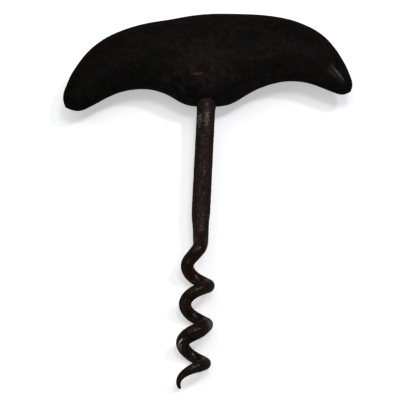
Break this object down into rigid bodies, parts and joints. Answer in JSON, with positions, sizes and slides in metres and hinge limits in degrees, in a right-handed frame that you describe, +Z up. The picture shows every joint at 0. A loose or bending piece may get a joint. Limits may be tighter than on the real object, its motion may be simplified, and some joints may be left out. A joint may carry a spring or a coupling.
{
  "type": "direct-pull corkscrew",
  "caption": "Direct-pull corkscrew: a curved dark grip handle pinned across a straight iron shank that ends in an open helical worm.",
  "frame": {"origin": "bottom centre of the bounding box, on the surface that the corkscrew lies on", "axes": "+X along the handle, +Y from the worm towards the handle, +Z up from the surface"},
  "size_m": [0.0924, 0.1268, 0.019],
  "materials": {
    "handle": "dark, hand-worn, satin",
    "iron": "forged, rusted and pitted",
    "pin": "rusted, filed flush"
  },
  "bodies": {
    "root": {"handle": "handle", "worm": "iron", "cross_pin": "pin"}
  },
  "joints": []
}
